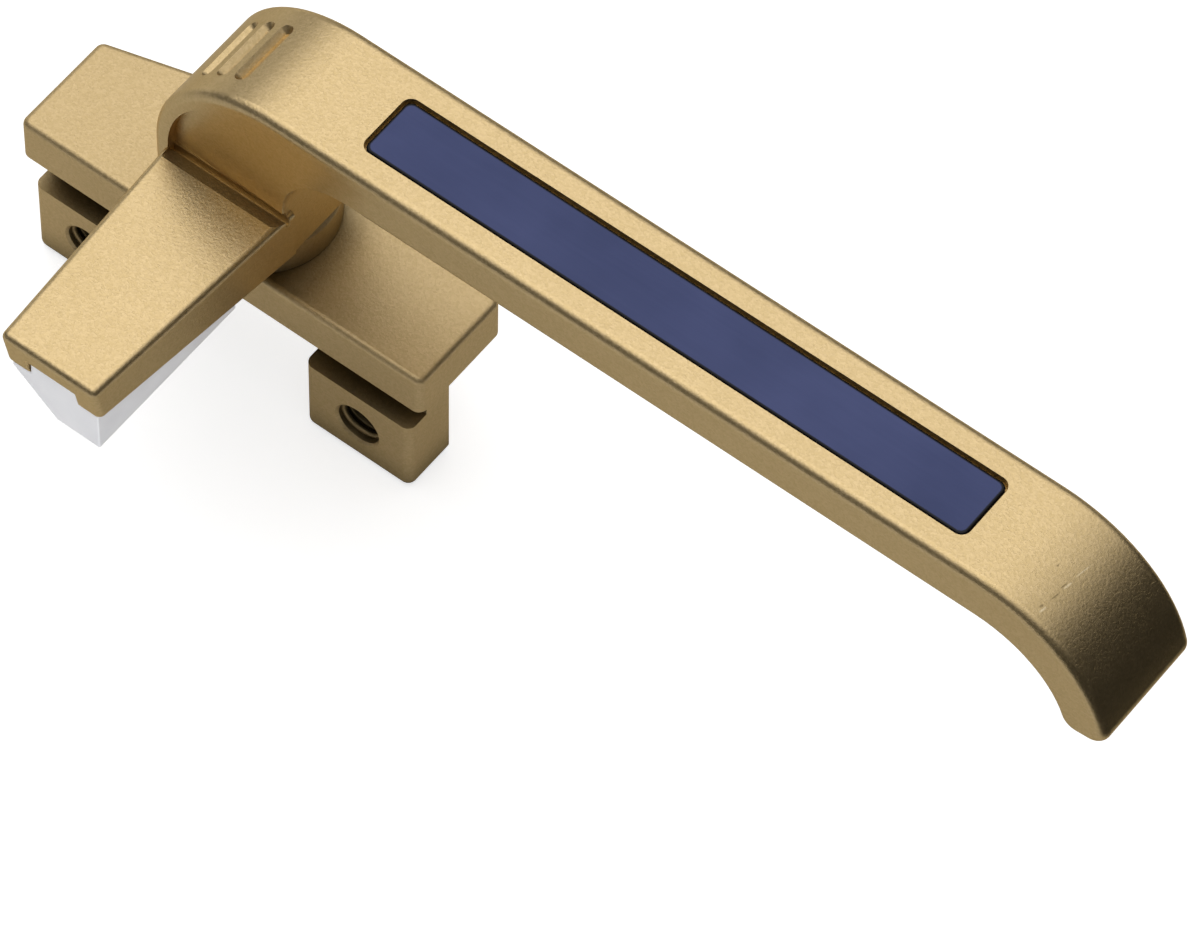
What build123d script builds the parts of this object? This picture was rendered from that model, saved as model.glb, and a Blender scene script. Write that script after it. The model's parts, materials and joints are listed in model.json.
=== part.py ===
from build123d import *
import math
import os

os.makedirs("parts", exist_ok=True)

# Frame: the pivot axis is Z, the wall side of the plate is Z = 0, the bar of the lever runs along +X
# and the tongue points along -Y. All sizes are in millimetres.

# base plate
plate_length = 60.0
plate_thick = 6.5
plate_near = 8.2
plate_end_far = 6.8
plate_bulge_far = 10.6
plate_bulge_half = 16.5
plate_corner_radius = 1.2
plate_edge_radius = 0.9

# fixing lugs behind the plate
lug_spacing = 41.0
lug_width = 15.7
lug_thick = 7.4
lug_neck_thick = 4.2
lug_neck_drop = 5.0
lug_drop = 17.4
lug_tip_radius = 1.2
lug_corner_radius = 1.2
thread_minor_radius = 2.5
thread_mouth_radius = 3.3
lug_hole_drop = 11.0

# pivot
stud_radius = 4.0
stud_clearance = 0.05
press_clearance = 0.02
stud_depth = 9.0
head_radius = 5.6
head_height = 0.9
collar_radius = 9.6
collar_near = 7.8
collar_height = 5.0
collar_chamfer = 0.6
washer_radius = 7.1
washer_thick = 0.7
running_gap = 0.1
spring_radius = 6.6
spring_thick = 0.5
spring_dish = 0.6
spring_room = 0.15
retainer_length = 22.0
retainer_width = 13.4
retainer_thick = 1.3

# lever
front_height = 39.6
bar_width = 16.4
bar_thick = 7.3
neck_back = 9.2
neck_front = 9.6
arch_radius = 18.0
inner_bend_radius = 10.0
hook_start = 107.2
hook_radius = 18.6
hook_turn = 84.0
hook_tip_thick = 6.2
hook_tip_radius = 2.4
bar_edge_radius = 1.2

# shallow waist on the tongue side of the neck
waist_rim = 2.3
waist_end = 22.0
waist_depth = 1.5

# three grooves across the arch
groove_first = 25.6
groove_step = 10.0
groove_count = 3
groove_length = 9.6
groove_width = 2.1
groove_depth = 0.9
groove_taper = 30.0

# inlay in the bar
inlay_start = 18.4
inlay_length = 84.2
inlay_width = 9.1
inlay_radius = 1.3
inlay_recess = 1.3
inlay_thick = 1.0
inlay_clearance = 0.3

# tongue
tongue_top = 21.2
tongue_reach = 40.0
tongue_sink = 2.0
tongue_root_half = 8.9
tongue_tip_half = 6.9
tongue_offset = 1.3
tongue_tip_depth = 6.2
tongue_tip_draft = 10.0
tongue_edge_radius = 0.9
channel_width = 7.4
channel_depth = 3.2
channel_stop = 14.0
root_groove_width = 0.6
root_groove_depth = 1.5
root_bevel_width = 1.8
root_bevel_drop = 0.6

# nylon pad
pad_clearance = 0.1
pad_flange_width = 12.6
pad_flange_thin = 0.7
pad_flange_thick = 4.4
pad_end_gap = 0.2

neck_bottom = plate_thick + collar_height + washer_thick + running_gap
half_bar = bar_width / 2
bar_under = front_height - bar_thick
hook_height = front_height - hook_radius
lug_near_face = -plate_near
lug_far_face = lug_near_face + lug_thick
lug_neck_face = lug_far_face - lug_neck_thick

# base plate with its two lugs
with BuildPart() as base_plate:
    with BuildSketch():
        with BuildLine():
            Polyline(
                (-plate_length / 2, -plate_near),
                (plate_length / 2, -plate_near),
                (plate_length / 2, plate_end_far),
                (plate_bulge_half, plate_bulge_far),
                (-plate_bulge_half, plate_bulge_far),
                (-plate_length / 2, plate_end_far),
                close=True,
            )
        make_face()
        fillet(vertices(), plate_corner_radius)
    extrude(amount=plate_thick)
    fillet(faces().sort_by(Axis.Z)[-1].edges(), plate_edge_radius)
    with BuildSketch(Plane.YZ.offset(-lug_spacing / 2)) as lug_profile:
        with BuildLine():
            Polyline(
                (lug_neck_face, 0),
                (lug_neck_face, -lug_neck_drop),
                (lug_near_face, -lug_neck_drop),
                (lug_near_face, -lug_drop),
                (lug_far_face, -lug_drop),
                (lug_far_face, 0),
                close=True,
            )
        make_face()
        fillet(vertices().sort_by(Axis.Y)[:2].sort_by(Axis.X)[0], lug_tip_radius)
    extrude(amount=lug_width / 2, both=True)
    with BuildSketch(Plane.YZ.offset(lug_spacing / 2)):
        add(lug_profile.sketch_local)
    extrude(amount=lug_width / 2, both=True)
    lug_tips = edges().filter_by(Axis.Y).group_by(Axis.Z)[0]
    fillet(lug_tips, lug_corner_radius)
    for side in (-1, 1):
        with Locations(Plane.XZ.offset(-lug_near_face)):
            with Locations((side * lug_spacing / 2, -lug_hole_drop)):
                CounterSinkHole(thread_minor_radius, thread_mouth_radius, lug_thick)
    with Locations(Plane.XY.offset(plate_thick)):
        Hole(stud_radius + stud_clearance, plate_thick)
    with Locations(Plane.XY.rotated((180, 0, 0))):
        Hole(spring_radius + spring_room, spring_dish + spring_thick)
base_plate.part.label = "base_plate"
export_step(base_plate.part, "parts/base_plate.step")

# collar that stands on the plate
with BuildPart() as collar:
    with BuildSketch(Plane.XY.offset(plate_thick)):
        Circle(collar_radius)
        with Locations((0, -collar_near)):
            Rectangle(
                2 * collar_radius,
                2 * collar_radius,
                align=(Align.CENTER, Align.MIN),
                mode=Mode.INTERSECT,
            )
        Circle(stud_radius + stud_clearance, mode=Mode.SUBTRACT)
    extrude(amount=collar_height)
    chamfer(faces().sort_by(Axis.Z)[-1].outer_wire().edges(), collar_chamfer)
collar.part.label = "collar"
export_step(collar.part, "parts/collar.step")

# thin washer under the neck
with BuildPart() as friction_washer:
    with BuildSketch(Plane.XY.offset(neck_bottom - washer_thick)):
        Circle(washer_radius)
        Circle(stud_radius + stud_clearance, mode=Mode.SUBTRACT)
    extrude(amount=washer_thick)
friction_washer.part.label = "friction_washer"
export_step(friction_washer.part, "parts/friction_washer.step")

# pivot stud with its riveted head behind the plate
head_face = -retainer_thick - running_gap
with BuildPart() as pivot_stud:
    with BuildSketch(Plane.XY.offset(head_face)):
        Circle(stud_radius)
    extrude(amount=neck_bottom + stud_depth - head_face)
    with BuildSketch(Plane.XY.offset(head_face)):
        Circle(head_radius)
    extrude(amount=-head_height)
    fillet(edges().group_by(Axis.Z)[0], head_height / 2)
pivot_stud.part.label = "pivot_stud"
export_step(pivot_stud.part, "parts/pivot_stud.step")

# dished spring washer in the pocket behind the plate
spring_inner = stud_radius + stud_clearance + spring_room
spring_floor = spring_dish + spring_thick
with BuildPart() as spring_washer:
    with BuildSketch(Plane.XZ):
        with BuildLine():
            Polyline(
                (spring_inner, spring_floor),
                (spring_inner, spring_floor - spring_thick),
                (spring_radius, 0),
                (spring_radius, spring_thick),
                close=True,
            )
        make_face()
    revolve(axis=Axis.Z)
spring_washer.part.label = "spring_washer"
export_step(spring_washer.part, "parts/spring_washer.step")

# long retaining plate under the riveted head
with BuildPart() as retaining_plate:
    with BuildSketch(Plane.XY.offset(-retainer_thick)):
        SlotOverall(retainer_length, retainer_width)
        Circle(stud_radius + stud_clearance, mode=Mode.SUBTRACT)
    extrude(amount=retainer_thick)
retaining_plate.part.label = "retaining_plate"
export_step(retaining_plate.part, "parts/retaining_plate.step")

# tongue: a block that tapers in plan and in depth, with soft edges and a tip that leans back
tongue_start = half_bar - tongue_sink
tip_lean = tongue_tip_depth * math.tan(math.radians(tongue_tip_draft))
with BuildPart() as tongue:
    with BuildSketch(Plane.XY.offset(neck_bottom)):
        with BuildLine():
            Polyline(
                (tongue_offset - tongue_root_half, -tongue_start),
                (tongue_offset - tongue_tip_half, -tongue_reach),
                (tongue_offset + tongue_tip_half, -tongue_reach),
                (tongue_offset + tongue_root_half, -tongue_start),
                close=True,
            )
        make_face()
    extrude(amount=tongue_top - neck_bottom)
    with BuildSketch(Plane.YZ.offset(tongue_offset)):
        with BuildLine():
            Polyline(
                (-tongue_start, neck_bottom),
                (-tongue_start, tongue_top),
                (-tongue_reach, tongue_top),
                (tip_lean - tongue_reach, tongue_top - tongue_tip_depth),
                close=True,
            )
        make_face()
    extrude(amount=tongue_root_half, both=True, mode=Mode.INTERSECT)
    root_edges = faces().sort_by(Axis.Y)[-1].edges()
    fillet(edges() - root_edges, tongue_edge_radius)

# lever: side profile of neck, arch, bar and hook
hook_inner = hook_radius - hook_tip_thick
turn = math.radians(hook_turn)
hook_outer_end = (hook_start + hook_radius * math.sin(turn), hook_height + hook_radius * math.cos(turn))
hook_inner_end = (hook_start + hook_inner * math.sin(turn), hook_height + hook_inner * math.cos(turn))
arch_spring = front_height - arch_radius
bend_spring = bar_under - inner_bend_radius
with BuildPart() as lever:
    with BuildSketch(Plane.XZ):
        with BuildLine():
            Line((-neck_back, neck_bottom), (-neck_back, arch_spring))
            TangentArc((-neck_back, arch_spring), (arch_radius - neck_back, front_height), tangent=(0, 1))
            Line((arch_radius - neck_back, front_height), (hook_start, front_height))
            TangentArc((hook_start, front_height), hook_outer_end, tangent=(1, 0))
            Line(hook_outer_end, hook_inner_end)
            TangentArc((hook_start, bar_under), hook_inner_end, tangent=(1, 0))
            Line((hook_start, bar_under), (neck_front + inner_bend_radius, bar_under))
            TangentArc(
                (neck_front + inner_bend_radius, bar_under),
                (neck_front, bend_spring),
                tangent=(-1, 0),
            )
            Line((neck_front, bend_spring), (neck_front, neck_bottom))
            Line((neck_front, neck_bottom), (-neck_back, neck_bottom))
        make_face()
    extrude(amount=half_bar, both=True)
    tip_edges = edges().filter_by(Axis.Y).group_by(Axis.X)[-2:]
    fillet(tip_edges[0] + tip_edges[1], hook_tip_radius)
    fillet(faces().filter_by(Axis.Y).edges(), bar_edge_radius)

    # waist on the tongue side, deepest at the back of the neck
    waist_angle = math.degrees(math.atan2(waist_depth, waist_end + neck_back))
    waist_plane = Plane(
        origin=(waist_end, -half_bar, 0),
        x_dir=(math.cos(math.radians(waist_angle)), -math.sin(math.radians(waist_angle)), 0),
        z_dir=(-math.sin(math.radians(waist_angle)), -math.cos(math.radians(waist_angle)), 0),
    )
    rim_radius = arch_radius - waist_rim
    waist_left = -neck_back + waist_rim - waist_end
    with BuildSketch(waist_plane):
        with BuildLine():
            Line((waist_left, neck_bottom), (waist_left, arch_spring))
            TangentArc(
                (waist_left, arch_spring),
                (waist_left + rim_radius, front_height - waist_rim),
                tangent=(0, 1),
            )
            Line((waist_left + rim_radius, front_height - waist_rim), (0, front_height - waist_rim))
            Line((0, front_height - waist_rim), (0, neck_bottom))
            Line((0, neck_bottom), (waist_left, neck_bottom))
        make_face()
    extrude(amount=waist_depth * 2, mode=Mode.SUBTRACT)

    add(tongue.part)

    # channel in the wall side of the tongue
    channel_floor = tongue_top - tongue_tip_depth + channel_depth
    with BuildSketch(Plane.XZ.offset(channel_stop)):
        with Locations((tongue_offset, channel_floor)):
            Rectangle(channel_width, channel_floor, align=(Align.CENTER, Align.MAX))
    extrude(amount=tongue_reach, mode=Mode.SUBTRACT)

    # relief groove and bevel where the tongue meets the neck
    groove_far = half_bar - waist_depth * waist_end / (waist_end + neck_back)
    with BuildSketch(Plane.YZ.offset(tongue_offset + tongue_root_half)):
        with BuildLine():
            Polyline(
                (-groove_far, tongue_top + root_bevel_drop),
                (-groove_far, tongue_top - root_groove_depth),
                (-groove_far - root_groove_width, tongue_top - root_groove_depth),
                (-groove_far - root_groove_width, tongue_top - root_bevel_drop),
                (-groove_far - root_groove_width - root_bevel_width, tongue_top),
                (-groove_far - root_groove_width - root_bevel_width, tongue_top + root_bevel_drop),
                close=True,
            )
        make_face()
    extrude(amount=waist_rim - neck_back - tongue_offset - tongue_root_half, mode=Mode.SUBTRACT)

    # grooves across the arch
    for step in range(groove_count):
        lean = math.radians(groove_first + step * groove_step)
        out = (-math.sin(lean), 0, math.cos(lean))
        centre = (
            arch_radius - neck_back - arch_radius * math.sin(lean),
            0,
            arch_spring + arch_radius * math.cos(lean),
        )
        with BuildSketch(Plane(origin=centre, x_dir=(0, 1, 0), z_dir=out)):
            SlotOverall(groove_length, groove_width)
        extrude(amount=-groove_depth, taper=groove_taper, mode=Mode.SUBTRACT)

    # long recess for the inlay, and the blind bore for the stud
    with BuildSketch(Plane.XY.offset(front_height)):
        with Locations((inlay_start + inlay_length / 2, 0)):
            RectangleRounded(inlay_length, inlay_width, inlay_radius)
    extrude(amount=-inlay_recess, mode=Mode.SUBTRACT)
    with BuildSketch(Plane.XY.offset(neck_bottom)):
        Circle(stud_radius + press_clearance)
    extrude(amount=stud_depth + press_clearance, mode=Mode.SUBTRACT)
lever.part.label = "lever"
export_step(lever.part, "parts/lever.step")

# inlay strip on the floor of the recess
with BuildPart() as inlay_strip:
    with BuildSketch(Plane.XY.offset(front_height - inlay_recess)):
        with Locations((inlay_start + inlay_length / 2, 0)):
            RectangleRounded(
                inlay_length - 2 * inlay_clearance,
                inlay_width - 2 * inlay_clearance,
                inlay_radius - inlay_clearance,
            )
    extrude(amount=inlay_thick)
inlay_strip.part.label = "inlay_strip"
export_step(inlay_strip.part, "parts/inlay_strip.step")

# wear pad: a tee whose stem fills the channel and whose flange follows the sloping lips of the tongue
lip_root = neck_bottom
lip_tip = tongue_top - tongue_tip_depth
lip_slope = (lip_tip - lip_root) / (tongue_reach - tip_lean - tongue_start)
pad_near = tongue_reach - tip_lean - pad_end_gap
pad_far = channel_stop + pad_clearance
pad_wall = lip_root + lip_slope * (pad_far - tongue_start) - pad_flange_thick
stem_half = channel_width / 2 - pad_clearance
flange_half = pad_flange_width / 2
with BuildPart() as wear_pad:
    for reach in (pad_far, pad_near):
        lip_level = lip_root + lip_slope * (reach - tongue_start) - pad_clearance
        with BuildSketch(Plane.XZ.offset(reach)):
            with BuildLine():
                Polyline(
                    (tongue_offset - stem_half, channel_floor - pad_clearance),
                    (tongue_offset - stem_half, lip_level),
                    (tongue_offset - flange_half, lip_level),
                    (tongue_offset - flange_half, lip_level - pad_flange_thin),
                    (tongue_offset, pad_wall),
                    (tongue_offset + flange_half, pad_wall),
                    (tongue_offset + flange_half, lip_level),
                    (tongue_offset + stem_half, lip_level),
                    (tongue_offset + stem_half, channel_floor - pad_clearance),
                    close=True,
                )
            make_face()
    loft(ruled=True)
wear_pad.part.label = "wear_pad"
export_step(wear_pad.part, "parts/wear_pad.step")
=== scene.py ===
"""Casement window handle: finishes, screw threads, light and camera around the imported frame."""
import json
import logging
import math
from dataclasses import dataclass
from enum import Enum

import bmesh
import bpy
from mathutils import Matrix, Vector


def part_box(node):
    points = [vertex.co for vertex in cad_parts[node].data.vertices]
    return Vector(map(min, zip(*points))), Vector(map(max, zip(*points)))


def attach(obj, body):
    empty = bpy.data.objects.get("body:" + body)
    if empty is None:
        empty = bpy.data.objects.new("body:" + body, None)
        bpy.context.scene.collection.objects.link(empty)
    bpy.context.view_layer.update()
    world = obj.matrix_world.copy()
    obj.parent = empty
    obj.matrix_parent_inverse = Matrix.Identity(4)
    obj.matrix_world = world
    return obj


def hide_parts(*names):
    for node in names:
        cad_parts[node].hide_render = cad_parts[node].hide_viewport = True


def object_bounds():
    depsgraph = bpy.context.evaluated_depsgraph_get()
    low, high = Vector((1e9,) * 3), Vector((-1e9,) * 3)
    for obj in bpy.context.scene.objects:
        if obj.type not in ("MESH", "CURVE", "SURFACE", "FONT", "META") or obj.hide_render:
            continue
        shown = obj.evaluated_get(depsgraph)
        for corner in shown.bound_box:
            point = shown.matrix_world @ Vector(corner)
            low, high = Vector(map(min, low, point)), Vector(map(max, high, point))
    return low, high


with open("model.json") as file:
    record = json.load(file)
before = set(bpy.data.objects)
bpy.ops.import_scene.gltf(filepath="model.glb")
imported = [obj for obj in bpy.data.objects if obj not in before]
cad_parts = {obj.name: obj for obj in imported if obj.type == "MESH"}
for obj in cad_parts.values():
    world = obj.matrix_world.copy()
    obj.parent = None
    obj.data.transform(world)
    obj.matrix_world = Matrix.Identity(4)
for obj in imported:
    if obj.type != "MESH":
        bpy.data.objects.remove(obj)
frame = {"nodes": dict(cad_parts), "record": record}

LOG = logging.getLogger("window_handle")
CAD_BOX = [list(corner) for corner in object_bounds()]
MM = 0.001

# corners closer than this are merged
MERGE_DISTANCE = 0.002 * MM

# below these angles an edge counts as flat, as smooth, and as too blunt to round
FLAT_ANGLE = math.radians(0.4)
SMOOTH_ANGLE = math.radians(32.0)
CREASE_ANGLE = math.radians(38.0)

# values that a noise pattern mostly keeps between
NOISE_LOW = 0.3
NOISE_HIGH = 0.7

Pair = tuple[float, float]
Triple = tuple[float, float, float]
Socket = bpy.types.NodeSocket


class Slot(Enum):
    """The record's material slots."""

    GOLD = "gold"
    INLAY = "inlay"
    NYLON = "nylon"
    STEEL = "steel"


class Body(Enum):
    """The rigid bodies that pieces ride on."""

    BASE = "base"
    LEVER = "lever"


class ShaderTree:
    """A material's node tree, put together one node at a time."""

    def __init__(self, name: str) -> None:
        """Makes a material that ends in one principled shader.

        Args:
            name: the material's name.
        """
        self.material = bpy.data.materials.new(name)
        self.material.use_nodes = True
        self.nodes = self.material.node_tree.nodes
        self.links = self.material.node_tree.links
        self.shader = self.nodes["Principled BSDF"]

    def add(self, kind: str, **settings: str) -> bpy.types.Node:
        """Adds a node.

        Args:
            kind: the node's type name.
            settings: options of the node, by name.

        Returns:
            The new node.
        """
        node = self.nodes.new(kind)
        for key, value in settings.items():
            setattr(node, key, value)
        return node

    def join(self, out: Socket, into: Socket) -> None:
        """Links one socket to another."""
        self.links.new(out, into)

    def give(self, **values: float | Triple) -> None:
        """Sets the shader's own sockets where a value is the same all over.

        Args:
            values: a number or a colour for each socket, by its name with _ for a space.
        """
        for key, value in values.items():
            plain = (*value, 1.0) if isinstance(value, tuple) else value
            self.shader.inputs[key.replace("_", " ")].default_value = plain

    def place(self, stretch: Triple = (1.0, 1.0, 1.0)) -> Socket:
        """Gives the piece's own coordinates.

        Args:
            stretch: how much finer a pattern gets along each axis.

        Returns:
            The vector socket.
        """
        mapping = self.add("ShaderNodeMapping")
        mapping.inputs["Scale"].default_value = stretch
        self.join(self.add("ShaderNodeTexCoord").outputs["Object"], mapping.inputs["Vector"])
        return mapping.outputs["Vector"]

    def noise(self, place: Socket, scale: float, detail: float = 2.0) -> Socket:
        """Adds a noise texture.

        Args:
            place: the coordinates it reads.
            scale: how many features to the metre.
            detail: levels of finer noise.

        Returns:
            The noise value, near 0.5.
        """
        node = self.add("ShaderNodeTexNoise")
        node.inputs["Scale"].default_value = scale
        node.inputs["Detail"].default_value = detail
        self.join(place, node.inputs["Vector"])
        return node.outputs["Fac"]

    def cells(self, place: Socket, scale: float) -> Socket:
        """Adds small cells of random grey.

        Args:
            place: the coordinates it reads.
            scale: how many cells to the metre.

        Returns:
            The cells' random value.
        """
        node = self.add("ShaderNodeTexVoronoi")
        node.inputs["Scale"].default_value = scale
        self.join(place, node.inputs["Vector"])
        grey = self.add("ShaderNodeSeparateColor")
        self.join(node.outputs["Color"], grey.inputs["Color"])
        return grey.outputs["Red"]

    def compute(self, operation: str, *values: Socket | float) -> Socket:
        """Works out one value from others.

        Args:
            operation: the node's operation.
            values: sockets or plain numbers.

        Returns:
            The result.
        """
        node = self.add("ShaderNodeMath", operation=operation)
        for socket, value in zip(node.inputs, values):
            if isinstance(value, float):
                socket.default_value = value
            else:
                self.join(value, socket)
        return node.outputs["Value"]

    def weigh(self, *parts: tuple[Socket, float]) -> Socket:
        """Adds up values, each times its weight.

        Args:
            parts: each value with its weight.

        Returns:
            The sum.
        """
        total = 0.0
        for value, weight in parts:
            total = self.compute("MULTIPLY_ADD", value, weight, total)
        return total

    def span(self, value: Socket, low: Pair, high: Pair) -> Socket:
        """Maps a value from one range to another.

        Args:
            value: the value socket.
            low: the value that starts the range, and what it becomes.
            high: the value that ends the range, and what it becomes.

        Returns:
            The new value, kept inside the new range.
        """
        node = self.add("ShaderNodeMapRange")
        node.inputs["From Min"].default_value, node.inputs["To Min"].default_value = low
        node.inputs["From Max"].default_value, node.inputs["To Max"].default_value = high
        self.join(value, node.inputs["Value"])
        return node.outputs["Result"]

    def blend(self, share: Socket, first: Socket | Triple, second: Triple) -> Socket:
        """Mixes two colours by a value.

        Args:
            share: how much of the second colour shows.
            first: the colour at 0, from another node or plain.
            second: the colour at 1.

        Returns:
            The mixed colour.
        """
        node = self.add("ShaderNodeMix", data_type="RGBA")
        colours = {socket.identifier: socket for socket in node.inputs}
        if isinstance(first, tuple):
            colours["A_Color"].default_value = (*first, 1.0)
        else:
            self.join(first, colours["A_Color"])
        colours["B_Color"].default_value = (*second, 1.0)
        self.join(share, node.inputs["Factor"])
        return next(socket for socket in node.outputs if socket.identifier == "Result_Color")

    def colour(self, out: Socket) -> None:
        """Gives the surface its colour."""
        self.join(out, self.shader.inputs["Base Color"])

    def roughen(self, pattern: Socket, rough: Pair) -> None:
        """Varies the roughness with a noise pattern.

        Args:
            pattern: the pattern, near 0.5.
            rough: the roughness at its low and its high end.
        """
        value = self.span(pattern, (NOISE_LOW, rough[0]), (NOISE_HIGH, rough[1]))
        self.join(value, self.shader.inputs["Roughness"])

    def relief(self, height: Socket, strength: float, depth: float) -> None:
        """Presses a height pattern into the surface.

        Args:
            height: the height pattern.
            strength: how much of it shows.
            depth: its depth in metres.
        """
        bump = self.add("ShaderNodeBump")
        bump.inputs["Strength"].default_value = strength
        bump.inputs["Distance"].default_value = depth
        self.join(height, bump.inputs["Height"])
        self.join(bump.outputs["Normal"], self.shader.inputs["Normal"])


@dataclass(frozen=True)
class Nick:
    """One small nick in the coat, on the front of the bar, drawn in colour as a painted highlight or as
    painted shade.

    Args:
        along: its middle along the bar, in millimetres from the pivot.
        across: its middle across the bar, in millimetres from the pivot.
        length: half its length in millimetres.
        width: half its width in millimetres.
        bright: whether it is a painted highlight; the others are painted shade on the nicks' dark sides.
        height: how high the front is there, in millimetres.
        depth: how far below and above that it reaches, in millimetres.
        lean: its turn from the bar's length, in radians.
        core: how far from its middle it is solid, as a share of its size.
        fade: how far from its middle it ends, as a share of its size.
        strength: how much of it shows.
    """

    along: float
    across: float
    length: float
    width: float
    bright: bool
    height: float = 38.1
    depth: float = 4.0
    lean: float = 1.42
    core: float = 0.5
    fade: float = 1.1
    strength: float = 0.7

    def mask(self, tree: ShaderTree) -> Socket:
        """Makes the nick's mask.

        Args:
            tree: the tree of the coat.

        Returns:
            The mask, 0 off the nick.
        """
        middle = Vector((self.along, self.across, self.height)) * MM
        size = Vector((self.length, self.width, self.depth)) * MM
        mapping = tree.add("ShaderNodeMapping", vector_type="TEXTURE")
        mapping.inputs["Location"].default_value = middle
        mapping.inputs["Rotation"].default_value = (0.0, 0.0, self.lean)
        mapping.inputs["Scale"].default_value = size
        tree.join(tree.place(), mapping.inputs["Vector"])
        reach = tree.add("ShaderNodeVectorMath", operation="LENGTH")
        tree.join(mapping.outputs["Vector"], reach.inputs[0])
        return tree.span(reach.outputs["Value"], (self.core, self.strength), (self.fade, 0.0))


# the nicks just before the hook, as painted highlights and painted shade
NICKS = (
    Nick(114.25, -5.85, 0.60, 0.14, True),
    Nick(113.90, -5.60, 0.35, 0.17, False),
    Nick(114.55, -1.60, 0.75, 0.12, True),
    Nick(114.25, -1.95, 0.60, 0.10, False),
    Nick(114.30, -3.60, 0.80, 0.09, False),
    Nick(114.75, 1.00, 1.30, 0.07, True),
    Nick(112.40, -0.60, 0.20, 0.14, False),
)


@dataclass(frozen=True)
class CoatFinish:
    """Champagne-gold metallic coat with a fine grain of flakes.

    Args:
        name: the material's name.
        light: colour of the light flakes.
        dark: colour of the dark flakes.
        metal: how metallic the coat is.
        rough: lowest and highest roughness.
        edge_tint: colour of what the coat mirrors at a flat angle.
        clear: share of clear varnish on top.
        clear_rough: roughness of the varnish.
        grain: bumps of the grain to the metre.
        flakes: flakes to the metre.
        cloud: soft patches to the metre.
        weights: how much the flakes, the grain and the patches vary the colour.
        mix: sums of the three at which the colour is all dark and all light.
        flake_height: height of the flakes against that of the grain.
        relief: how much of the grain shows as relief.
        depth: depth of the grain in metres.
        corner_shade_reach: how wide a corner can be for painted shade to darken it, in metres; 0 for none.
        corner_shade_open: shares of open sky at which the painted shade is darkest and at which it ends.
        corner_shade_share: how much of the painted shade's colour shows where it is darkest.
        corner_shade_tone: colour of the painted shade in the corners.
        nicks: small nicks in the coat.
        nick_glint: colour of a nick's painted highlight.
        nick_shade: colour of the painted shade on a nick's dark side.
    """

    name: str = "gold_coat"
    light: Triple = (0.65, 0.49, 0.265)
    dark: Triple = (0.53, 0.392, 0.19)
    metal: float = 0.97
    rough: Pair = (0.33, 0.41)
    edge_tint: Triple = (0.88, 0.74, 0.48)
    clear: float = 0.12
    clear_rough: float = 0.3
    grain: float = 2800.0
    flakes: float = 3800.0
    cloud: float = 90.0
    weights: Triple = (0.42, 0.5, 0.25)
    mix: Pair = (0.24, 0.94)
    flake_height: float = 0.4
    relief: float = 0.55
    depth: float = 0.05 * MM
    # painted shade in the narrow corners, off unless a reach is given
    corner_shade_reach: float = 0.0
    corner_shade_open: Pair = (0.28, 0.8)
    corner_shade_share: float = 0.92
    corner_shade_tone: Triple = (0.06, 0.045, 0.018)
    nicks: tuple[Nick, ...] = ()
    # colours of the nicks' painted highlights and painted shade
    nick_glint: Triple = (0.86, 0.72, 0.48)
    nick_shade: Triple = (0.20, 0.145, 0.07)

    def build(self) -> bpy.types.Material:
        """Makes the material.

        Returns:
            The material.
        """
        tree = ShaderTree(self.name)
        place = tree.place()
        grain = tree.noise(place, self.grain, 3.0)
        flakes = tree.cells(place, self.flakes)
        cloud = tree.noise(place, self.cloud)
        share = tree.weigh(*zip((flakes, grain, cloud), self.weights))
        start, end = self.mix
        colour = tree.blend(tree.span(share, (start, 0.0), (end, 1.0)), self.dark, self.light)
        # painted shade: the coat is darkened in narrow corners, by how little open sky they see
        if self.corner_shade_reach:
            colour = tree.blend(self.corners(tree), colour, self.corner_shade_tone)
        tree.colour(self.nicked(tree, colour))
        tree.roughen(grain, self.rough)
        tree.give(Metallic=self.metal, Specular_Tint=self.edge_tint)
        tree.give(Coat_Weight=self.clear, Coat_Roughness=self.clear_rough)
        tree.relief(tree.weigh((flakes, self.flake_height), (grain, 1.0)), self.relief, self.depth)
        return tree.material

    def corners(self, tree: ShaderTree) -> Socket:
        """Makes the mask of the narrow corners, where painted shade darkens the coat.

        Args:
            tree: the material's tree.

        Returns:
            The mask, 0 where no painted shade falls.
        """
        node = tree.add("ShaderNodeAmbientOcclusion")
        node.inputs["Distance"].default_value = self.corner_shade_reach
        # the painted shade is darkest at the first share of open sky and gone at the second
        darkest, whole = self.corner_shade_open
        return tree.span(node.outputs["AO"], (darkest, self.corner_shade_share), (whole, 0.0))

    def nicked(self, tree: ShaderTree, colour: Socket) -> Socket:
        """Lays the nicks over the coat's colour as painted shade and painted highlights, the bright ones
        last.

        Args:
            tree: the material's tree.
            colour: the colour of the whole coat.

        Returns:
            The colour with the nicks.
        """
        # painted shade on the nicks' dark sides first, then their painted highlights
        for bright, tone in ((False, self.nick_shade), (True, self.nick_glint)):
            masks = [nick.mask(tree) for nick in self.nicks if nick.bright == bright]
            if masks:
                mask = masks[0]
                for other in masks[1:]:
                    mask = tree.compute("MAXIMUM", mask, other)
                colour = tree.blend(mask, colour, tone)
        return colour


# the plate and the collar are rougher castings, with painted shade darkening their narrow corners
PLATE_COAT = CoatFinish(rough=(0.43, 0.51), metal=0.94, corner_shade_reach=10.0 * MM)

# the lever is a smoother casting, nicked just before the hook, with painted highlights and painted shade on
# the nicks
LEVER_COAT = CoatFinish(name="gold_coat_scuffed_and_glinting", nicks=NICKS)


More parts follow.
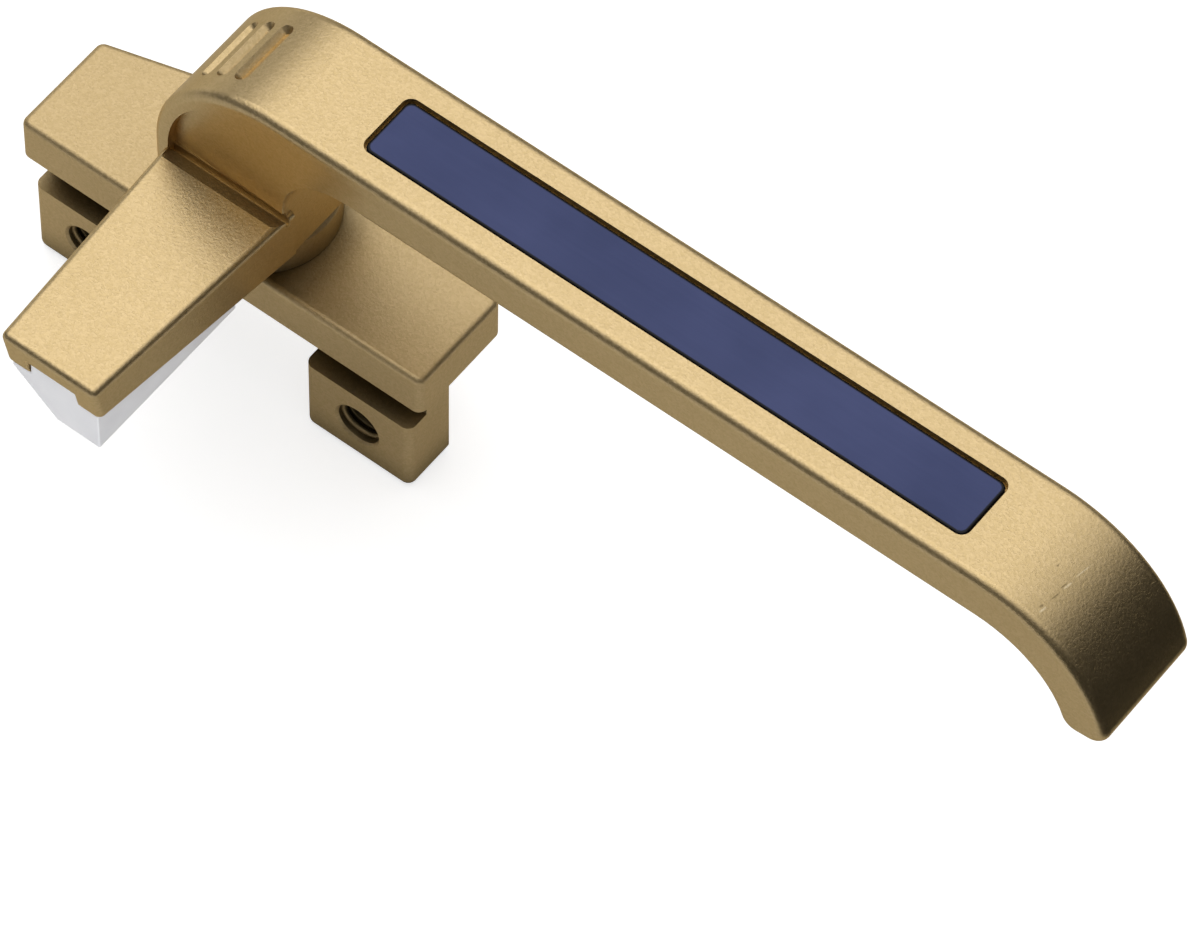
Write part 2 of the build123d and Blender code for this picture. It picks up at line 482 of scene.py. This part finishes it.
@dataclass(frozen=True)
class InlayFinish:
    """Navy satin plastic with a faint haze, and a black border of painted shade for the shadowed gap round
    it.

    Args:
        name: the material's name.
        deep: the darker blue.
        haze: the lighter blue.
        gap_shade: colour of the painted shade along the border.
        rough: lowest and highest roughness.
        gloss: how strongly the plastic mirrors.
        cloud: patches of haze to the metre.
        brushed: brushed lines to the metre.
        brush_stretch: how the lines are drawn out along the strip.
        weights: how much the haze and the lines vary the colour.
        mix: sums of the two at which the colour is all deep and all haze.
        relief: how much of the lines shows as relief.
        depth: depth of the lines in metres.
        corner: radius of the strip's corners, in metres.
        gap_shade_width: how wide the painted shade along the border is, in metres.
        gap_shade_fade: how wide its soft inner edge is, as a share of that width.
    """

    name: str = "navy_inlay"
    deep: Triple = (0.044, 0.060, 0.170)
    haze: Triple = (0.070, 0.088, 0.222)
    # colour of the painted shade along the border
    gap_shade: Triple = (0.004, 0.004, 0.006)
    rough: Pair = (0.30, 0.44)
    gloss: float = 0.2
    cloud: float = 55.0
    brushed: float = 2200.0
    brush_stretch: Triple = (0.05, 1.0, 1.0)
    weights: Pair = (0.9, 0.1)
    mix: Pair = (0.36, 0.64)
    relief: float = 0.08
    depth: float = 0.02 * MM
    corner: float = 1.2 * MM
    gap_shade_width: float = 0.36 * MM
    gap_shade_fade: float = 0.4

    def build(self) -> bpy.types.Material:
        """Makes the material.

        Returns:
            The material.
        """
        tree = ShaderTree(self.name)
        cloud = tree.noise(tree.place(), self.cloud, 3.0)
        brushed = tree.noise(tree.place(self.brush_stretch), self.brushed)
        share = tree.weigh(*zip((cloud, brushed), self.weights))
        start, end = self.mix
        blue = tree.blend(tree.span(share, (start, 0.0), (end, 1.0)), self.deep, self.haze)
        # painted shade: the border is darkened for the shadowed gap round the inlay
        tree.colour(tree.blend(self.edge(tree), blue, self.gap_shade))
        tree.roughen(cloud, self.rough)
        tree.give(Specular_IOR_Level=self.gloss)
        tree.relief(brushed, self.relief, self.depth)
        return tree.material

    def edge(self, tree: ShaderTree) -> Socket:
        """Makes the mask of the painted shade along the border from the distance to the strip's
        round-cornered outline.

        Args:
            tree: the material's tree.

        Returns:
            The mask, 1 on the painted shade along the border.
        """
        low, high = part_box("inlay_strip")
        parts = tree.add("ShaderNodeSeparateXYZ")
        tree.join(tree.place(), parts.inputs["Vector"])
        reach = []
        for axis, near, far in zip("XY", low, high):
            off = tree.compute("ABSOLUTE", tree.compute("SUBTRACT", parts.outputs[axis], (near + far) / 2))
            reach.append(tree.compute("SUBTRACT", off, (far - near) / 2 - self.corner))
        outside = [tree.compute("POWER", tree.compute("MAXIMUM", side, 0.0), 2.0) for side in reach]
        corner = tree.compute("SQRT", tree.compute("ADD", *outside))
        inside = tree.compute("MINIMUM", tree.compute("MAXIMUM", *reach), 0.0)
        depth = tree.compute("SUBTRACT", tree.compute("ADD", corner, inside), self.corner)
        start, end = (-self.gap_shade_width * (1.0 + side * self.gap_shade_fade / 2) for side in (1, -1))
        return tree.span(depth, (start, 0.0), (end, 1.0))


@dataclass(frozen=True)
class MottledFinish:
    """A finish of one material whose colour and roughness vary with one soft pattern.

    Args:
        name: the material's name.
        light: the lighter colour.
        shade: the darker colour.
        rough: lowest and highest roughness.
        metal: how metallic it is.
        mottle: features of the pattern to the metre.
        stretch: how much finer the pattern is along each axis.
        grain: bumps of the grain to the metre.
        relief: how much of the grain shows as relief.
        depth: depth of the grain in metres.
    """

    name: str
    light: Triple
    shade: Triple
    rough: Pair
    metal: float
    mottle: float
    stretch: Triple
    grain: float
    relief: float
    depth: float

    def build(self) -> bpy.types.Material:
        """Makes the material.

        Returns:
            The material.
        """
        tree = ShaderTree(self.name)
        mottle = tree.noise(tree.place(self.stretch), self.mottle, 3.0)
        share = tree.span(mottle, (NOISE_LOW, 0.0), (NOISE_HIGH, 1.0))
        tree.colour(tree.blend(share, self.shade, self.light))
        tree.roughen(mottle, self.rough)
        tree.give(Metallic=self.metal)
        tree.relief(tree.noise(tree.place(), self.grain), self.relief, self.depth)
        return tree.material


# white moulded nylon with a cool cast
WHITE_NYLON = MottledFinish(
    name="white_nylon",
    light=(0.92, 0.92, 0.94),
    shade=(0.86, 0.86, 0.89),
    rough=(0.38, 0.52),
    metal=0.0,
    mottle=240.0,
    stretch=(1.0, 1.0, 1.0),
    grain=1400.0,
    relief=0.15,
    depth=0.03 * MM,
)

# plain turned steel, with its rings across the pivot axis
TURNED_STEEL = MottledFinish(
    name="turned_steel",
    light=(0.62, 0.61, 0.60),
    shade=(0.44, 0.43, 0.42),
    rough=(0.26, 0.42),
    metal=1.0,
    mottle=900.0,
    stretch=(1.0, 1.0, 6.0),
    grain=1800.0,
    relief=0.1,
    depth=0.02 * MM,
)


def in_scene(name: str, data: bpy.types.ID) -> bpy.types.Object:
    """Puts a mesh, lamp or camera into the scene.

    Args:
        name: the new object's name.
        data: the mesh, lamp or camera.

    Returns:
        The new object, at the origin.
    """
    piece = bpy.data.objects.new(name, data)
    bpy.context.scene.collection.objects.link(piece)
    return piece


def plain_mesh(piece: bpy.types.Object) -> None:
    """Turns a piece's evaluated shape into its own plain mesh, with no modifiers left.

    Args:
        piece: the piece, with its modifiers.
    """
    graph = bpy.context.evaluated_depsgraph_get()
    mesh = bpy.data.meshes.new_from_object(piece.evaluated_get(graph))
    piece.modifiers.clear()
    old = piece.data
    piece.data = mesh
    bpy.data.meshes.remove(old)
    mesh.name = piece.name


def merged_copy(node: str, name: str) -> bpy.types.Object:
    """Copies a CAD node as one merged mesh with whole flat faces.

    Args:
        node: the node's name.
        name: the new piece's name.

    Returns:
        The new piece.
    """
    mesh = bpy.data.meshes.new(name)
    work = bmesh.new()
    work.from_mesh(frame["nodes"][node].data)
    bmesh.ops.remove_doubles(work, verts=work.verts, dist=MERGE_DISTANCE)
    bmesh.ops.dissolve_limit(work, angle_limit=FLAT_ANGLE, verts=work.verts, edges=work.edges)
    work.to_mesh(mesh)
    work.free()
    if "custom_normal" in mesh.attributes:
        mesh.attributes.remove(mesh.attributes["custom_normal"])
    return in_scene(name, mesh)


def exact_copy(node: str, name: str) -> bpy.types.Object:
    """Copies a CAD node with its own faces and normals.

    Args:
        node: the node's name.
        name: the new piece's name.

    Returns:
        The new piece.
    """
    mesh = frame["nodes"][node].data.copy()
    mesh.name = name
    return in_scene(name, mesh)


def cylinder(name: str, radius: float, depth: float, matrix: Matrix, sides: int) -> bpy.types.Object:
    """Makes a closed cylinder.

    Args:
        name: the object's name.
        radius: radius in metres.
        depth: length in metres.
        matrix: where its middle is and how it is turned.
        sides: number of sides.

    Returns:
        The new object.
    """
    mesh = bpy.data.meshes.new(name)
    work = bmesh.new()
    bmesh.ops.create_cone(
        work, cap_ends=True, segments=sides, radius1=radius, radius2=radius, depth=depth, matrix=matrix
    )
    work.to_mesh(mesh)
    work.free()
    return in_scene(name, mesh)


def cut(piece: bpy.types.Object, tool: bpy.types.Object) -> None:
    """Takes one closed shape out of another.

    Args:
        piece: the shape that is cut.
        tool: the shape that is taken out; it is removed afterwards.
    """
    step = piece.modifiers.new("cut", "BOOLEAN")
    step.operation = "DIFFERENCE"
    step.solver = "EXACT"
    step.object = tool
    plain_mesh(piece)
    bpy.data.objects.remove(tool)


def soften(piece: bpy.types.Object, width: float, segments: int = 3) -> None:
    """Rounds the sharp edges of a piece a little and smooths its faces.

    Args:
        piece: the piece.
        width: how far the rounding reaches, in metres.
        segments: steps in the rounding.
    """
    bevel = piece.modifiers.new("edges", "BEVEL")
    bevel.width = width
    bevel.segments = segments
    bevel.limit_method = "ANGLE"
    bevel.angle_limit = CREASE_ANGLE
    plain_mesh(piece)
    piece.data.shade_smooth()
    piece.data.set_sharp_from_angle(angle=SMOOTH_ANGLE)
    even = piece.modifiers.new("even", "WEIGHTED_NORMAL")
    even.weight = 100
    even.keep_sharp = True
    plain_mesh(piece)


def mount(piece: bpy.types.Object, body: Body, slot: Slot, finish: bpy.types.Material, *nodes: str) -> None:
    """Dresses a piece and puts it on its body.

    Args:
        piece: the piece.
        body: the body that it rides on.
        slot: the record's slot; not used.
        finish: its material.
        nodes: the CAD nodes that it stands for.
    """
    piece.data.materials.clear()
    piece.data.materials.append(finish)
    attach(piece, body.value)
    if nodes:
        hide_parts(*nodes)
    LOG.info("%s: %d faces on %s", piece.name, len(piece.data.polygons), body.value)


class GeometryTree:
    """A geometry node tree with named inputs, put together one node at a time."""

    def __init__(self, name: str, sizes: dict[str, float], finish: bpy.types.Material) -> None:
        """Makes a tree with an input for each size and one for the finish.

        Args:
            name: the tree's name.
            sizes: the value of each size, by the input's name.
            finish: the material of the result.
        """
        self.tree = bpy.data.node_groups.new(name, "GeometryNodeTree")
        face = self.tree.interface
        face.new_socket("Geometry", in_out="INPUT", socket_type="NodeSocketGeometry")
        self.values = {}
        for key, size in sizes.items():
            socket = face.new_socket(key, in_out="INPUT", socket_type="NodeSocketFloat")
            self.values[socket.identifier] = size
        socket = face.new_socket("Finish", in_out="INPUT", socket_type="NodeSocketMaterial")
        self.values[socket.identifier] = finish
        face.new_socket("Geometry", in_out="OUTPUT", socket_type="NodeSocketGeometry")
        self.given = self.tree.nodes.new("NodeGroupInput").outputs

    def add(self, kind: str, **feeds: object) -> bpy.types.Node:
        """Adds a node and feeds its inputs.

        Args:
            kind: the node's type name.
            feeds: a socket or a plain value for each input, by its name with _ for a space.

        Returns:
            The new node.
        """
        node = self.tree.nodes.new(kind)
        for key, feed in feeds.items():
            socket = node.inputs[key.replace("_", " ")]
            if isinstance(feed, Socket):
                self.tree.links.new(feed, socket)
            else:
                socket.default_value = feed
        return node

    def end(self, geometry: Socket) -> None:
        """Ends the tree: the copies become real and get their finish.

        Args:
            geometry: the finished shape.
        """
        real = self.add("GeometryNodeRealizeInstances", Geometry=geometry).outputs["Geometry"]
        dressed = self.add("GeometryNodeSetMaterial", Geometry=real, Material=self.given["Finish"])
        self.add("NodeGroupOutput", Geometry=dressed.outputs["Geometry"])

    def piece(self, name: str) -> bpy.types.Object:
        """Runs the tree and keeps its result as a plain mesh.

        Args:
            name: the new piece's name.

        Returns:
            The new piece, merged and with its faces turned outwards.
        """
        piece = bpy.data.objects.new(name, bpy.data.meshes.new(name))
        step = piece.modifiers.new(self.tree.name, "NODES")
        step.node_group = self.tree
        for identifier, value in self.values.items():
            step[identifier] = value
        bpy.context.scene.collection.objects.link(piece)
        plain_mesh(piece)
        work = bmesh.new()
        work.from_mesh(piece.data)
        bmesh.ops.remove_doubles(work, verts=work.verts, dist=MERGE_DISTANCE / 10)
        bmesh.ops.recalc_face_normals(work, faces=work.faces)
        work.to_mesh(piece.data)
        work.free()
        return piece


@dataclass
class BasePlate:
    """The cast plate with its two lugs and the screw threads in them.

    Args:
        coat: the plate's finish.
        edge: how far its edges are rounded, in metres.
        bore_radius: radius of the bores at the bottom of the thread, in metres.
        bore_sides: number of sides of a bore.
        ridge: half the width of the thread's ridge, in metres.
        pitch: from one turn of the thread to the next, in metres.
        turns: number of turns.
        turn_steps: steps in each turn.
        mouth: from the lug's near face to the first turn, in metres.
        lug_thick: thickness of the lugs, in metres.
    """

    coat: bpy.types.Material
    edge: float = 0.2 * MM
    bore_radius: float = 3.0 * MM
    bore_sides: int = 64
    ridge: float = 0.5 * MM
    pitch: float = 1.0 * MM
    turns: float = 6.0
    turn_steps: int = 40
    mouth: float = 0.75 * MM
    lug_thick: float = 7.4 * MM

    def build(self) -> None:
        """Makes the plate with its bores, and the threads."""
        screws = next(row for row in frame["record"]["mounts"] if row["name"] == "fixing_screws")
        spacing = screws["dims"]["spacing_x_mm"] * MM
        level = screws["pos_m"][2]
        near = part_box("base_plate")[0].y
        plate = merged_copy("base_plate", "base_plate_casting")
        across = Matrix.Rotation(math.radians(90.0), 4, "X")
        for side in (-0.5, 0.5):
            middle = Matrix.Translation((side * spacing, near + self.lug_thick / 2, level))
            bore = cylinder("bore", self.bore_radius, 2 * self.lug_thick, middle @ across, self.bore_sides)
            cut(plate, bore)
        soften(plate, self.edge)
        mount(plate, Body.BASE, Slot.GOLD, self.coat, "base_plate")
        threads = self.threads(spacing, Vector((-spacing / 2, near + self.mouth, level)))
        mount(threads, Body.BASE, Slot.GOLD, self.coat)

    def threads(self, spacing: float, start: Vector) -> bpy.types.Object:
        """Makes the ridges of both screw threads: one helix, swept and set on two points.

        Args:
            spacing: from one bore to the other, in metres.
            start: where the left thread starts.

        Returns:
            The plain mesh of both threads.
        """
        sizes = {
            "Radius": self.bore_radius,
            "Ridge": self.ridge,
            "Length": self.turns * self.pitch,
            "Turns": self.turns,
            "Spacing": spacing,
        }
        tree = GeometryTree("lug_thread", sizes, self.coat)
        given = tree.given
        helix = tree.add(
            "GeometryNodeCurveSpiral",
            Resolution=self.turn_steps,
            Rotations=given["Turns"],
            Start_Radius=given["Radius"],
            End_Radius=given["Radius"],
            Height=given["Length"],
        )
        diamond = tree.add("GeometryNodeCurvePrimitiveCircle", Resolution=4, Radius=given["Ridge"])
        ridge = tree.add(
            "GeometryNodeCurveToMesh",
            Curve=helix.outputs["Curve"],
            Profile_Curve=diamond.outputs["Curve"],
            Fill_Caps=True,
        )
        laid = tree.add(
            "GeometryNodeTransform",
            Geometry=ridge.outputs["Mesh"],
            Rotation=(math.radians(-90.0), 0.0, 0.0),
        )
        step = tree.add("ShaderNodeCombineXYZ", X=given["Spacing"])
        pair = tree.add("GeometryNodeMeshLine", Count=2, Start_Location=start, Offset=step.outputs["Vector"])
        both = tree.add(
            "GeometryNodeInstanceOnPoints", Points=pair.outputs["Mesh"], Instance=laid.outputs["Geometry"]
        )
        tree.end(both.outputs["Instances"])
        return tree.piece("lug_threads")


@dataclass
class Pivot:
    """The collar, washers, retaining plate and stud on the pivot axis.

    Args:
        coat: the collar's finish.
        steel: finish of the steel pieces.
        edge: how far their edges are rounded, in metres.
        edge_steps: steps in the rounding.
    """

    coat: bpy.types.Material
    steel: bpy.types.Material
    edge: float = 0.12 * MM
    edge_steps: int = 2

    def build(self) -> None:
        """Makes each piece from its CAD node."""
        rows = (
            ("collar", Body.BASE, Slot.GOLD, self.coat),
            ("friction_washer", Body.LEVER, Slot.STEEL, self.steel),
            ("spring_washer", Body.BASE, Slot.STEEL, self.steel),
            ("retaining_plate", Body.BASE, Slot.STEEL, self.steel),
            ("pivot_stud", Body.LEVER, Slot.STEEL, self.steel),
        )
        for node, body, slot, finish in rows:
            piece = merged_copy(node, f"{node}_turned")
            soften(piece, self.edge, self.edge_steps)
            mount(piece, body, slot, finish, node)


@dataclass
class Lever:
    """The cast lever with its inlay and the nylon pad on its tongue.

    Args:
        coat: the casting's finish.
        navy: the inlay's finish.
        nylon: the pad's finish.
        inlay_edge: how far the inlay's edges are rounded, in metres.
        pad_edge: how far the pad's edges are rounded, in metres.
    """

    coat: bpy.types.Material
    navy: bpy.types.Material
    nylon: bpy.types.Material
    inlay_edge: float = 0.3 * MM
    pad_edge: float = 0.35 * MM

    def build(self) -> None:
        """Makes the casting, the inlay and the pad."""
        casting = exact_copy("lever", "lever_casting")
        mount(casting, Body.LEVER, Slot.GOLD, self.coat, "lever")
        inlay = merged_copy("inlay_strip", "inlay_panel")
        soften(inlay, self.inlay_edge)
        mount(inlay, Body.LEVER, Slot.INLAY, self.navy, "inlay_strip")
        pad = merged_copy("wear_pad", "nylon_pad")
        soften(pad, self.pad_edge)
        mount(pad, Body.LEVER, Slot.NYLON, self.nylon, "wear_pad")


@dataclass(frozen=True)
class PhotoCamera:
    """The camera, standing where the photograph was taken.

    Args:
        azimuth: its turn round the handle, in degrees.
        elevation: its height above the horizon, in degrees.
        roll: its own turn, in degrees.
        distance: from the camera to the pivot, in metres.
        focal: focal length in pixels of the picture.
        pivot: where the pivot is in the picture, in pixels.
        picture: the picture's width and height in pixels.
        sensor: width of the sensor in millimetres.
        clip_start: the nearest that the camera sees, in metres.
    """

    azimuth: float = 36.3
    elevation: float = 57.0
    roll: float = 1.65
    distance: float = 0.9678
    focal: float = 8267.0
    pivot: Pair = (263.1, 237.6)
    picture: Pair = (1197.0, 950.0)
    sensor: float = 36.0
    clip_start: float = 0.01

    def build(self) -> None:
        """Makes the camera and gives it to the scene."""
        turn, rise, roll = (math.radians(angle) for angle in (self.azimuth, self.elevation, self.roll))
        back = Vector((math.sin(turn) * math.cos(rise), -math.cos(turn) * math.cos(rise), math.sin(rise)))
        level = Vector((math.cos(turn), math.sin(turn), 0.0))
        upright = back.cross(level)
        right = level * math.cos(roll) + upright * math.sin(roll)
        up = upright * math.cos(roll) - level * math.sin(roll)
        pixel = self.distance / self.focal
        aside, down = ((spot - size / 2) * pixel for spot, size in zip(self.pivot, self.picture))
        place = self.distance * back - aside * right + down * up
        lens = bpy.data.cameras.new("camera")
        lens.sensor_fit = "HORIZONTAL"
        lens.sensor_width = self.sensor
        lens.lens = self.focal * self.sensor / self.picture[0]
        lens.clip_start = self.clip_start
        camera = in_scene("camera", lens)
        camera.matrix_world = Matrix.Translation(place) @ Matrix((right, up, back)).transposed().to_4x4()
        bpy.context.scene.camera = camera


@dataclass(frozen=True)
class PaperFloor:
    """A pale paper floor that looks white and keeps the shadow.

    Args:
        paper: the paper's colour.
        rough: its roughness.
        glow: how much whiter it looks to the camera.
        mirrored: share of that glow that shows in metal.
        gap: from the lugs down to the paper, in metres.
        reach: from the pivot to the paper's edges, in metres.
    """

    paper: Triple = (0.72, 0.72, 0.72)
    rough: float = 0.9
    glow: float = 0.66
    mirrored: float = 0.06
    gap: float = 0.05 * MM
    reach: float = 3.0

    def build(self) -> None:
        """Lays the floor under the lugs."""
        level = CAD_BOX[0][2] - self.gap
        corners = [(x * self.reach, y * self.reach, level) for x, y in ((-1, -1), (1, -1), (1, 1), (-1, 1))]
        mesh = bpy.data.meshes.new("floor")
        mesh.from_pydata(corners, [], [(0, 1, 2, 3)])
        mesh.materials.append(self.finish())
        in_scene("floor", mesh)

    def finish(self) -> bpy.types.Material:
        """Makes the paper, which glows for the camera, through glass and a little in metal.

        Returns:
            The material.
        """
        tree = ShaderTree("pale_floor")
        path = tree.add("ShaderNodeLightPath").outputs
        glossy = tree.compute("MULTIPLY", path["Is Glossy Ray"], self.mirrored)
        seen = tree.compute("MAXIMUM", path["Is Camera Ray"], glossy)
        seen = tree.compute("MAXIMUM", seen, path["Is Transmission Ray"])
        tree.join(tree.compute("MULTIPLY", seen, self.glow), tree.shader.inputs["Emission Strength"])
        tree.give(Base_Color=self.paper, Emission_Color=(1.0, 1.0, 1.0))
        tree.give(Roughness=self.rough, Specular_IOR_Level=0.0)
        return tree.material


@dataclass(frozen=True)
class DarkCard:
    """A dark card that lies and stands past the hook and shades its end; only metal shows it.

    Args:
        start: where it starts along the bar, in metres.
        bend: where it turns upwards, in metres.
        half: half its width across the bar, in metres.
        top: height of its upper edge, in metres.
        lift: from the floor to its lower part, in metres.
        felt: its colour.
    """

    start: float = 0.150
    bend: float = 0.2
    half: float = 0.35
    top: float = 0.094
    lift: float = 1.0 * MM
    felt: Triple = (0.01, 0.01, 0.01)

    def build(self) -> None:
        """Makes the card."""
        low = CAD_BOX[0][2] + self.lift
        section = ((self.start, low), (self.bend, low), (self.bend, self.top))
        corners = [(x, y, z) for x, z in section for y in (-self.half, self.half)]
        mesh = bpy.data.meshes.new("dark_card")
        mesh.from_pydata(corners, [], [(0, 2, 3, 1), (2, 4, 5, 3)])
        tree = ShaderTree("dark_felt")
        tree.give(Base_Color=self.felt, Roughness=1.0)
        mesh.materials.append(tree.material)
        card = in_scene("dark_card", mesh)
        card.visible_camera = False
        card.visible_shadow = False
        card.visible_diffuse = False


@dataclass(frozen=True)
class RoomLight:
    """The soft light of the room, bright above and dim round the horizon.

    Args:
        towards: the direction that is brightest.
        dim: strength round the horizon.
        bright: strength in the bright part.
        spread: cosines of the angles from the brightest direction where the light starts and is full.
    """

    towards: Triple = (-0.15, 0.18, 0.972)
    dim: float = 0.09
    bright: float = 1.22
    spread: Pair = (0.5, 0.93)

    def build(self) -> None:
        """Makes the world and gives it to the scene."""
        world = bpy.data.worlds.new("room")
        world.use_nodes = True
        nodes, links = world.node_tree.nodes, world.node_tree.links
        sky = nodes["Background"]
        sky.inputs["Color"].default_value = (1.0, 1.0, 1.0, 1.0)
        facing = nodes.new("ShaderNodeVectorMath")
        facing.operation = "DOT_PRODUCT"
        facing.inputs[1].default_value = self.towards
        links.new(nodes.new("ShaderNodeTexCoord").outputs["Generated"], facing.inputs[0])
        ramp = nodes.new("ShaderNodeMapRange")
        ramp.interpolation_type = "SMOOTHSTEP"
        ramp.inputs["From Min"].default_value, ramp.inputs["From Max"].default_value = self.spread
        ramp.inputs["To Min"].default_value = self.dim
        ramp.inputs["To Max"].default_value = self.bright
        links.new(facing.outputs["Value"], ramp.inputs["Value"])
        links.new(ramp.outputs["Result"], sky.inputs["Strength"])
        bpy.context.scene.world = world


@dataclass(frozen=True)
class Lamp:
    """A soft lamp that faces the pivot.

    Args:
        name: the lamp's name.
        place: where it hangs, in metres.
        size: its width and height in metres.
        power: its power in watts.
        mirrored: whether metal mirrors it; otherwise it lights only what is matt.
    """

    name: str
    place: Triple
    size: Pair
    power: float
    mirrored: bool = True

    def build(self) -> None:
        """Hangs the lamp."""
        light = bpy.data.lights.new(self.name, "AREA")
        light.shape = "RECTANGLE"
        light.size, light.size_y = self.size
        light.energy = self.power
        lamp = in_scene(self.name, light)
        lamp.location = self.place
        lamp.rotation_euler = Vector(self.place).to_track_quat("Z", "Y").to_euler()
        lamp.visible_glossy = self.mirrored
        lamp.visible_camera = False


@dataclass(frozen=True)
class Studio:
    """Camera, floor and light.

    Args:
        key: the main lamp, overhead.
        fill: a low lamp in front, for the white pad.
        side: a weak low lamp on the left, which the arch mirrors.
    """

    key: Lamp = Lamp("key", (-0.25, 0.12, 0.85), (0.8, 0.8), 1.0)
    fill: Lamp = Lamp("fill", (0.36, -0.50, 0.055), (0.6, 0.1), 1.9, mirrored=False)
    side: Lamp = Lamp("side", (-0.55, 0.27, 0.10), (0.7, 0.22), 0.26)

    def build(self) -> None:
        """Sets the whole studio up."""
        for part in (PhotoCamera(), PaperFloor(), RoomLight(), DarkCard(), self.key, self.fill, self.side):
            part.build()
        bpy.context.scene.view_settings.view_transform = "Standard"


def main() -> None:
    logging.basicConfig(level=logging.INFO, format="%(message)s")
    plate_coat = PLATE_COAT.build()
    BasePlate(plate_coat).build()
    Pivot(plate_coat, TURNED_STEEL.build()).build()
    Lever(LEVER_COAT.build(), InlayFinish().build(), WHITE_NYLON.build()).build()
    Studio().build()


if __name__ == "__main__":
    main()
